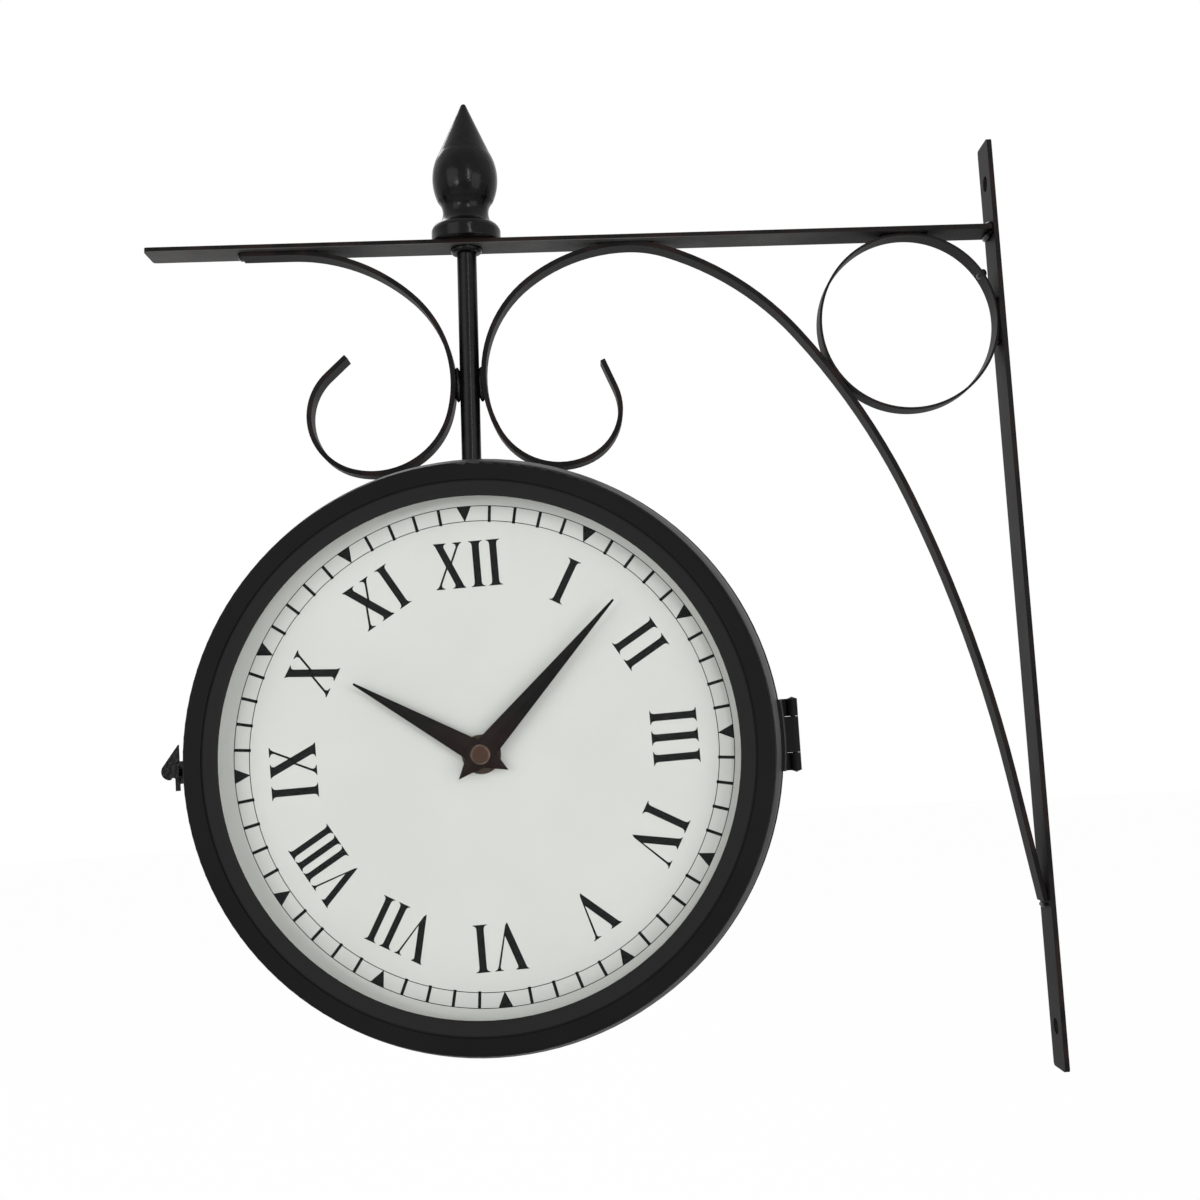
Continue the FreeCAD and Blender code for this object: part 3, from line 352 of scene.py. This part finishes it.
def hand_paint():
    paint = Paint("hand_paint", Specular_IOR_Level=SATIN_SHEEN)
    cloud = paint.noise(6 * MM, 3)
    colour = paint.blend(cloud.step(0.35, 0.7), *HAND_BLACKS)
    near_hub = 1 - paint.reach().step(HUB_NEAR, HUB_FAR)
    colour = paint.blend(near_hub * 0.35, colour, HUB_BROWN)
    return paint.to(Base_Color=colour, Roughness=0.3 + cloud * 0.14,
                    Normal=paint.bump(paint.noise(0.8 * MM, 2), 0.015 * MM, 0.5))


def dial_ink():
    paint = Paint("dial_ink", Specular_IOR_Level=0.08)
    cloud = paint.noise(4 * MM, 3)
    colour = paint.blend(cloud, *INK_BLACKS)
    return paint.to(Base_Color=colour, Roughness=0.6 + cloud * 0.1)


hand_black = hand_paint()
ink = dial_ink()
print("hands and ink:", hand_black.name, ink.name)

# %% [markdown]
# The small metal pieces at the hub are bronze coloured: a flat cap over the shaft and a nut on a
# round washer, lacquered almost black. The photograph doesn't show the rod's nuts, which are
# inside the case. They get plain zinc plate, with the faint blue and yellow clouds of plating.

# %% Small metal
CAP_FLAT = 3.35 * MM
CAP_RIM = 3.7 * MM
CAP_BROWNS = ((0.050, 0.025, 0.016), (0.062, 0.031, 0.020))
RIM_PAINTED_HIGHLIGHT = (0.42, 0.33, 0.26)


def metal(name, dark, light, rough, size, metallic=1.0):
    paint = Paint(name, Metallic=metallic)
    cloud = paint.noise(size, 3)
    colour = paint.blend(cloud.step(0.3, 0.7), dark, light)
    fine = paint.noise(size * 0.15, 2)
    return paint.to(Base_Color=colour, Roughness=rough + cloud * 0.12,
                    Normal=paint.bump(fine, 0.01 * MM, 0.5))


def cap_metal():
    """The cap over the shaft: brown lacquer on its face, and a painted highlight on its rim."""
    paint = Paint("cap_bronze", Metallic=0.75)
    rim = paint.reach().step(CAP_FLAT, CAP_RIM)
    cloud = paint.noise(3 * MM, 3)
    colour = paint.blend(cloud.step(0.3, 0.7), *CAP_BROWNS)
    # Painted highlight: the rim is lightened, as if it caught the lamps.
    colour = paint.blend(rim, colour, RIM_PAINTED_HIGHLIGHT)
    return paint.to(Base_Color=colour, Roughness=0.3 - rim * 0.1,
                    Normal=paint.bump(paint.noise(0.3 * MM, 2), 0.004 * MM, 0.5))


cap_bronze = cap_metal()
nut_bronze = metal("nut_bronze", (0.040, 0.026, 0.018), (0.085, 0.060, 0.042), 0.2, 2 * MM, 0.8)
zinc = metal("zinc_plate", (0.48, 0.49, 0.52), (0.60, 0.59, 0.56), 0.3, 5 * MM)
print("small metal:", cap_bronze.name, nut_bronze.name, zinc.name)

# %% [markdown]
# The photograph doesn't show the movement, so its finishes are guesses at what such movements
# have. The housing is moulded black plastic with a spark-eroded grain. Its setting knob is grey,
# and its dry cell has a plain two-colour jacket: a dark body with a copper band at one end. The
# band sits at the end with the button, and x tells which end that is.

# %% Plastic, rubber and the dry cell
COPPER_START = 8.0 * MM
COPPER_FULL = 8.3 * MM
BUTTON_START = 23.9 * MM
BUTTON_FULL = 24.0 * MM
JACKET_DARKS = ((0.012, 0.013, 0.016), (0.020, 0.021, 0.025))
COPPER = (0.46, 0.20, 0.09)
BUTTON_STEEL = (0.62, 0.62, 0.62)


def moulded(name, dark, light, rough, grain):
    paint = Paint(name, Specular_IOR_Level=0.45)
    cloud = paint.noise(14 * MM, 2)
    colour = paint.blend(cloud.step(0.3, 0.7), dark, light)
    return paint.to(Base_Color=colour, Roughness=rough + cloud * 0.08,
                    Normal=paint.bump(paint.noise(grain, 2), 0.04 * MM, 0.6))


def cell_jacket(name, facing):
    """facing is 1 where the cell's button points to +X, and -1 where it points to -X."""
    paint = Paint(name, Specular_IOR_Level=0.5)
    along = (paint.axis("X") - CLOCK_X) * facing
    cloud = paint.noise(10 * MM, 2)
    body = paint.blend(cloud.step(0.3, 0.7), *JACKET_DARKS)
    band = along.step(COPPER_START, COPPER_FULL)
    colour = paint.blend(band, body, COPPER)
    colour = paint.blend(along.step(BUTTON_START, BUTTON_FULL), colour, BUTTON_STEEL)
    return paint.to(Base_Color=colour, Metallic=band * 0.75, Roughness=0.26 + cloud * 0.1,
                    Normal=paint.bump(paint.noise(3 * MM, 2), 0.01 * MM, 0.3))


movement_black = moulded("movement_plastic", (0.018, 0.018, 0.019), (0.026, 0.026, 0.028), 0.46,
                         0.5 * MM)
knob_grey = moulded("knob_plastic", (0.42, 0.42, 0.40), (0.50, 0.50, 0.48), 0.4, 0.8 * MM)
rubber = moulded("seal_rubber", (0.018, 0.018, 0.018), (0.028, 0.027, 0.026), 0.7, 0.6 * MM)
cells = {side: cell_jacket(f"{side}_cell_jacket", 1 if side == "front" else -1)
         for side in ("front", "rear")}
print("plastics:", movement_black.name, knob_grey.name, rubber.name)

# %% [markdown]
# Each solid piece gets its finish in its own material slot. Both clock faces are alike, so one
# table serves the two sides.

# %% Give the pieces their finishes
FINISH = {
    "wall_strip": wide_bar, "arm": arm_bar, "scroll_ring": bent_bar, "left_scroll": bent_bar,
    "scroll_brace": bent_bar, "hanger_rod": rod_gloss, "finial": finial_gloss,
    "hanger_saddle": zinc, "rod_washer": zinc, "rod_nuts": zinc,
    "hinge_rear_leaf": case_black, "hinge_front_leaf": case_black, "hinge_pin": rod_gloss,
    "latch_pivot": rod_gloss, "latch_stud": rod_gloss, "latch_lever": weld_gloss,
}
FACE_FINISH = {
    "shell": case_black, "bezel": case_black, "lens": clear_glass, "lens_seal": rubber,
    "dial": dial_white, "dial_clips": zinc, "movement": movement_black, "dial_nut": nut_bronze,
    "hour_tube": nut_bronze, "minute_shaft": nut_bronze, "hub_cap": cap_bronze,
    "set_knob": knob_grey, "hour_hand": hand_black, "minute_hand": hand_black,
}
for side in ("front", "rear"):
    FINISH.update({f"{side}_{word}": finish for word, finish in FACE_FINISH.items()})
    FINISH[f"{side}_cell"] = cells[side]


def dress(piece, finish):
    piece.data.materials.clear()
    piece.data.materials.append(finish)


for name, finish in FINISH.items():
    dress(nodes[name], finish)
print("dressed:", len(FINISH), "left plain:", sorted(set(nodes) - set(FINISH)))

# %% [markdown]
# ## The printed dial
# The numerals and the minute ring could be screen printed. Shader nodes could paint them here,
# but ink that is real geometry has crisp edges at any distance. Each mark is the outline of a
# flat curve, which Blender fills. The letters are a tall Roman face with thick stems, hairlines
# and sharp bracketed serifs. Three glyphs, drawn on a baseline with their centre at x = 0 and
# 18 mm high, make all twelve numerals. The right half of the I is drawn, and mirrored.

# %% Three glyphs
LETTER = 18.0
STEM_SIDE = [(2.75, 0.0), (2.65, 0.25), (1.95, 0.55), (1.55, 1.05), (1.4, 1.9)]
I_RIGHT = STEM_SIDE + [(x, LETTER - y) for x, y in reversed(STEM_SIDE)]
I_GLYPH = I_RIGHT + [(-x, y) for x, y in reversed(I_RIGHT)]
V_THICK = [(-6.6, 18.0), (-6.5, 17.75), (-5.9, 17.4), (-5.5, 16.6), (0.55, -0.15), (1.75, 4.9),
           (-2.35, 16.5), (-2.3, 17.2), (-1.6, 17.75), (-1.5, 18.0)]
V_THIN = [(0.55, -0.15), (4.35, 16.6), (4.1, 17.4), (3.2, 17.75), (3.15, 18.0), (6.55, 18.0),
          (6.5, 17.75), (5.7, 17.4), (5.15, 16.5), (1.3, 0.9)]
X_THICK = [(-5.6, 18.0), (-5.4, 17.6), (-4.85, 17.0), (1.9, 1.6), (1.75, 0.7), (1.0, 0.3),
           (0.9, 0.0), (6.0, 0.0), (5.8, 0.4), (5.2, 1.0), (-1.6, 16.4), (-1.4, 17.3),
           (-0.7, 17.7), (-0.6, 18.0)]
X_THIN_TOP = [(0.1, 9.0), (3.15, 16.2), (3.0, 17.2), (2.0, 17.7), (1.9, 18.0), (5.5, 18.0),
              (5.4, 17.7), (4.6, 17.2), (4.1, 16.4), (0.9, 9.0)]
X_THIN_FOOT = [(-x - 0.15, LETTER - y) for x, y in X_THIN_TOP]
GLYPHS = {"I": ([I_GLYPH], []), "V": ([V_THICK], [V_THIN]),
          "X": ([X_THICK], [X_THIN_TOP, X_THIN_FOOT])}
print("corners in each glyph:", {word: sum(map(len, a + b)) for word, (a, b) in GLYPHS.items()})

# %% [markdown]
# In the photograph the numerals with many letters are squeezed, and none is wider than 27 mm.
# So a numeral is a short list of letters, each with its place and its width. All of them stand
# with their feet towards the centre, about 65 mm from it. The whole print is a little turned
# and off centre, as it measures in the photograph.

# %% Twelve numerals
NUMERALS = {
    1: [("I", 0, 1)],
    2: [("I", -3.9, 1), ("I", 3.9, 1)],
    3: [("I", -7.9, 1), ("I", 0, 1), ("I", 7.9, 1)],
    4: [("I", -7.4, 1), ("V", 3.6, 1)],
    5: [("V", 0, 1)],
    6: [("V", -3.6, 1), ("I", 7.4, 1)],
    7: [("V", -6.4, 0.88), ("I", 3.3, 0.88), ("I", 9.6, 0.88)],
    8: [("V", -8.2, 0.82), ("I", 0.4, 0.86), ("I", 5.55, 0.86), ("I", 10.7, 0.86)],
    9: [("I", -7.9, 1), ("X", 3.9, 1.08)],
    10: [("X", 0, 1.08)],
    11: [("X", -3.9, 1.08), ("I", 7.9, 1)],
    12: [("X", -7.6, 1), ("I", 3.2, 1), ("I", 10.0, 1)],
}
FOOT_RADIUS = 64.6
PRINT_TURN = math.radians(1.66)
PRINT_SHIFT = (1.2, 0.1)


def on_print(x, y, clockwise):
    """A spot of the print, turned clockwise by an angle about its centre, in metres."""
    turn = PRINT_TURN - clockwise
    across = x * math.cos(turn) - y * math.sin(turn) + PRINT_SHIFT[0]
    up = x * math.sin(turn) + y * math.cos(turn) + PRINT_SHIFT[1]
    return across * MM, up * MM


def numeral_outlines(layer):
    """The outlines of one layer, 0 for thick strokes and 1 for hairlines."""
    found = []
    for hour, letters in NUMERALS.items():
        clockwise = math.radians(30 * hour)
        for word, place, width in letters:
            for corners in GLYPHS[word][layer]:
                found.append([on_print(place + x * width, FOOT_RADIUS + y, clockwise)
                              for x, y in corners])
    return found


print("letters on a dial:", sum(map(len, NUMERALS.values())))

# %% [markdown]
# Outside the numerals runs the minute ring: two thin lines, a short bar at each minute and a
# triangle at each hour, which points at the centre. The lines are pairs of circles, and a flat
# curve leaves the inside of the smaller one open.

# %% Minute ring
RING_OUTER = 96.3
RING_INNER = 90.4
LINE_HALF = 0.15
BAR_HALF = 0.6
BAR_PAST = 0.5
TRIANGLE_HALF = 2.85
TIP_PAST = 0.2
CIRCLE_STEPS = 240


def circle_outline(radius):
    return [on_print(0, radius, math.tau * step / CIRCLE_STEPS) for step in range(CIRCLE_STEPS)]


def ring_outlines():
    found = []
    for radius in (RING_OUTER, RING_INNER):
        found += [circle_outline(radius + LINE_HALF), circle_outline(radius - LINE_HALF)]
    return found


def mark_outlines():
    found = []
    for minute in range(60):
        clockwise = math.radians(6 * minute)
        corners = [(-BAR_HALF, RING_INNER - BAR_PAST), (BAR_HALF, RING_INNER - BAR_PAST),
                   (BAR_HALF, RING_OUTER), (-BAR_HALF, RING_OUTER)]
        if minute % 5 == 0:
            corners = [(0, RING_INNER - TIP_PAST), (TRIANGLE_HALF, RING_OUTER),
                       (-TRIANGLE_HALF, RING_OUTER)]
        found.append([on_print(x, y, clockwise) for x, y in corners])
    return found


print("marks:", len(mark_outlines()))

# %% [markdown]
# A flat curve becomes a thin plate when it is extruded, and then a mesh. The layers overlap
# where a hairline runs into a stem, so each is a curve of its own, and they are joined as
# meshes. The rear dial is the front one turned half round.

# %% Ink as thin plates
INK_HALF = 0.02 * MM


def flat_curve(name, outlines):
    curve = bpy.data.curves.new(name, "CURVE")
    curve.dimensions = "2D"
    curve.fill_mode = "BOTH"
    curve.extrude = INK_HALF
    for corners in outlines:
        spline = curve.splines.new("POLY")
        spline.points.add(len(corners) - 1)
        for point, (x, y) in zip(spline.points, corners):
            point.co = (x, y, 0, 1)
        spline.use_cyclic_u = True
    piece = bpy.data.objects.new(name, curve)
    bpy.context.scene.collection.objects.link(piece)
    return piece


def settle(piece):
    """Select a piece alone, and put its place and turn into its mesh."""
    bpy.ops.object.select_all(action="DESELECT")
    bpy.context.view_layer.objects.active = piece
    piece.select_set(True)
    bpy.ops.object.transform_apply(location=True, rotation=True, scale=True)


def print_dial(name, face, half_turn):
    layers = [flat_curve(f"{name}_thick", numeral_outlines(0)),
              flat_curve(f"{name}_thin", numeral_outlines(1)),
              flat_curve(f"{name}_ring", ring_outlines()),
              flat_curve(f"{name}_marks", mark_outlines())]
    bpy.ops.object.select_all(action="DESELECT")
    for layer in layers:
        layer.select_set(True)
    bpy.context.view_layer.objects.active = layers[0]
    bpy.ops.object.convert(target="MESH")
    bpy.ops.object.join()
    piece = bpy.context.view_layer.objects.active
    piece.name = name
    piece.rotation_euler = (math.pi / 2, 0, half_turn)
    piece.location = (CLOCK_X, face, CLOCK_Z)
    settle(piece)
    dress(piece, ink)
    return piece


front_print = print_dial("front_dial_print", -DIAL_FACE, 0)
rear_print = print_dial("rear_dial_print", DIAL_FACE, math.pi)
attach(front_print, "front_door")
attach(rear_print, "root")
print("ink faces on each dial:", len(front_print.data.polygons))

# %% [markdown]
# ## The welds
# The photograph shows small lumps under the paint where bars meet, as short arc welds leave. In
# the solid model each is a plain round bead. Here a ball is stretched along its seam, roughened
# a little as molten metal is, and smoothed by a subdivision. The lumps sink into the bars on
# either side, and so they read as one run of metal. A row of the table has a lump's name, its
# place along the arm and above it, its radius, and half its length across.

# %% Weld lumps
WELDS = [
    ("arm_strip_under", -0.9, -0.9, 1.7, 6.5), ("arm_strip_over", -0.9, 2.9, 1.7, 6.5),
    ("ring_arm_left", -45.3, -0.5, 1.1, 4.4), ("ring_arm_right", -27.3, -0.5, 1.1, 4.4),
    ("ring_strip_high", 0.5, -28.5, 1.1, 4.4), ("ring_strip_low", 0.8, -46.5, 1.1, 4.4),
    ("ring_seam", -4.2, -17.4, 2.0, 4.8), ("left_end", -315.0, -1.0, 1.4, 4.5),
    ("left_land", -283.4, -0.4, 1.0, 4.4), ("apex_left", -164.4, -0.5, 1.1, 4.4),
    ("apex_right", -142.4, -0.5, 1.1, 4.4), ("brace_end", 7.6, -279.6, 1.0, 4.4),
]
ROD_ALONG = -220.4
ROD_RADIUS = 4.1
SIDE_LUMP = (1.8, 1.9, 7.5)
SIDE_OUT = 0.9
SIDE_UP = -58
LUMP_DEPTH = 0.16 * MM


def roughen(piece, depth, seed):
    """Move the corners of a lump a little, as molten metal freezes, and round it."""
    bpy.ops.object.mode_set(mode="EDIT")
    bpy.ops.mesh.select_all(action="SELECT")
    bpy.ops.transform.vertex_random(offset=depth, uniform=0, normal=0.5, seed=seed)
    bpy.ops.object.mode_set(mode="OBJECT")
    smooth = piece.modifiers.new("Rounder", "SUBSURF")
    smooth.levels = smooth.render_levels = 1
    bpy.ops.object.modifier_apply(modifier=smooth.name)
    bpy.ops.object.shade_smooth()


def lump(name, spot, size, seed):
    """A roughened ball, stretched to a size along X, Y and Z."""
    bpy.ops.object.select_all(action="DESELECT")
    bpy.ops.mesh.primitive_uv_sphere_add(segments=16, ring_count=10, radius=1, location=spot)
    piece = bpy.context.object
    piece.name = name
    piece.scale = Vector(size) * MM
    settle(piece)
    roughen(piece, LUMP_DEPTH, seed)
    return piece


lumps = [lump(name, on_arm(along, up), (radius, half, radius), seed)
         for seed, (name, along, up, radius, half) in enumerate(WELDS)]
for seed, side in ((31, -1), (32, 1)):
    spot = on_arm(ROD_ALONG + side * (ROD_RADIUS + SIDE_OUT), SIDE_UP)
    lumps.append(lump(f"rod_side_{seed}", spot, SIDE_LUMP, seed))
print("lumps:", len(lumps))

# %% [markdown]
# Where the rod passes through the arm, the weld is taken to run all the way round it. A torus is
# the right start for that, and then everything is joined to one piece that stands for the plain
# beads.

# %% Weld round the rod
COLLAR_RADIUS = 5.0 * MM
COLLAR_THICK = 2.0 * MM
COLLAR_UP = -0.6
COLLAR_DEPTH = 0.45 * MM
COLLAR_SEED = 7
bpy.ops.object.select_all(action="DESELECT")
bpy.ops.mesh.primitive_torus_add(major_segments=20, minor_segments=8, major_radius=COLLAR_RADIUS,
                                 minor_radius=COLLAR_THICK, location=on_arm(ROD_ALONG, COLLAR_UP))
collar = bpy.context.object
settle(collar)
roughen(collar, COLLAR_DEPTH, COLLAR_SEED)
bpy.ops.object.select_all(action="DESELECT")
for piece in lumps + [collar]:
    piece.select_set(True)
bpy.context.view_layer.objects.active = collar
bpy.ops.object.join()
welds = bpy.context.view_layer.objects.active
welds.name = "weld_lumps"
settle(welds)
dress(welds, weld_gloss)
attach(welds, "root")
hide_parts("weld_beads")
print("weld faces:", len(welds.data.polygons))

# %% [markdown]
# ## Floor and light
# The photograph has a plain white ground. The floor is a wide pale sheet below the clock, and it
# shows a camera most of that white by itself, while it still takes a soft shadow.

# %% Floor
FLOOR_HEIGHT = -0.46
FLOOR_RADIUS = 7
FLOOR_RING = 5.0
FLOOR_GLOW = 0.97
bpy.ops.object.select_all(action="DESELECT")
bpy.ops.mesh.primitive_circle_add(vertices=96, radius=FLOOR_RADIUS, fill_type="NGON",
                                  location=(CLOCK_X, 0, FLOOR_HEIGHT))
floor = bpy.context.object
floor.name = "floor"
bpy.ops.object.mode_set(mode="EDIT")
bpy.ops.mesh.select_all(action="SELECT")
bpy.ops.mesh.inset(thickness=FLOOR_RING)
bpy.ops.object.mode_set(mode="OBJECT")
settle(floor)
floor_paint = Paint("floor_paint", Base_Color=(0.86, 0.86, 0.86, 1), Roughness=0.7)
glow = floor_paint.node("Emission", None, {"Color": (1, 1, 1, 1), "Strength": 1.0})
seen = floor_paint.node("LightPath", output="Is Camera Ray")
both = floor_paint.node("MixShader", None, {
    0: seen * FLOOR_GLOW, 1: Wire(floor_paint, floor_paint.surface.outputs[0]), 2: glow})
output = floor_paint.tree.nodes["Material Output"]
floor_paint.tree.links.new(both.socket, output.inputs["Surface"])
dress(floor, floor_paint.material)
print("floor at", FLOOR_HEIGHT)

# %% [markdown]
# The sky mixes two plain backgrounds by the kind of ray. It is full white to the camera, through
# the glass and in reflections, and a quieter grey as a lamp, so that a colour renders about as
# it is written.

# %% Sky
SKY_LAMP = 0.6
SKY_WHITE = 1.0
world = bpy.data.worlds.new("studio")
bpy.context.scene.world = world
world.use_nodes = True
sky = world.node_tree
sky.nodes.clear()
rays = sky.nodes.new("ShaderNodeLightPath")


def larger(first, second):
    """The larger of the values of two sockets."""
    made = sky.nodes.new("ShaderNodeMath")
    made.operation = "MAXIMUM"
    sky.links.new(first, made.inputs[0])
    sky.links.new(second, made.inputs[1])
    return made.outputs[0]


def background(strength):
    """A plain white background of a given strength."""
    made = sky.nodes.new("ShaderNodeBackground")
    made.inputs["Color"].default_value = (1, 1, 1, 1)
    made.inputs["Strength"].default_value = strength
    return made.outputs[0]


seen_directly = larger(rays.outputs["Is Camera Ray"], rays.outputs["Is Transmission Ray"])
shown = larger(seen_directly, rays.outputs["Is Glossy Ray"])
mixed = sky.nodes.new("ShaderNodeMixShader")
for number, socket in enumerate([shown, background(SKY_LAMP), background(SKY_WHITE)]):
    sky.links.new(socket, mixed.inputs[number])
result = sky.nodes.new("ShaderNodeOutputWorld")
sky.links.new(mixed.outputs[0], result.inputs["Surface"])
print("sky lamp:", SKY_LAMP)

# %% [markdown]
# Large soft lamps do the rest: one on each side, as for a picture in a catalogue, and one above
# and behind for the rear dial. Two small lamps beside the camera add almost no light to a matt
# face, but they draw the small bright lines on the finial, the rod and the welds.

# %% Lamps
AIM = Vector((-0.2, 0, 0))


def softbox(name, spot, size, power):
    """A rectangular lamp at a spot, turned towards the middle of the clock and bracket."""
    data = bpy.data.lights.new(name, "AREA")
    data.shape = "RECTANGLE"
    data.size, data.size_y = size
    data.energy = power
    lamp_object = bpy.data.objects.new(name, data)
    bpy.context.scene.collection.objects.link(lamp_object)
    lamp_object.location = spot
    heading = AIM - Vector(spot)
    lamp_object.rotation_euler = heading.to_track_quat("-Z", "Y").to_euler()


softbox("left", spot=(-1.5, -1.5, 0.35), size=(1.3, 1.3), power=10)
softbox("right", spot=(1.3, -1.6, -0.05), size=(1.3, 1.3), power=12)
softbox("strip_right", spot=(0.25, -1.5, 0.40), size=(0.08, 0.60), power=4.0)
softbox("strip_left", spot=(-0.9, -1.4, 0.05), size=(0.14, 0.14), power=1.6)
softbox("back", spot=(-0.7, 1.4, 1.7), size=(1.2, 1.0), power=14)
print("lamps are set")

# %% [markdown]
# ## Camera
# The camera was fitted to the photograph, with the clock at its assumed size. It stands about
# two thirds of a metre away, level with the clock, close to the middle of the bracket and tipped
# slightly up. It also leans: the arm climbs to the right in the picture. The lens is worked out
# for a square picture.

# %% Camera
LENS = 47.96
CAMERA_SPOT = (-0.1815, -0.6582, -0.0459)
CAMERA_TURN = (94.776, 3.549, -0.233)
camera_data = bpy.data.cameras.new("camera")
camera_data.sensor_width = 36
camera_data.lens = LENS
camera_data.clip_start = 0.01
camera = bpy.data.objects.new("camera", camera_data)
bpy.context.scene.collection.objects.link(camera)
camera.location = CAMERA_SPOT
camera.rotation_euler = [math.radians(angle) for angle in CAMERA_TURN]
bpy.context.scene.camera = camera
bpy.context.scene.view_settings.view_transform = "Standard"
print("camera at", tuple(camera.location))
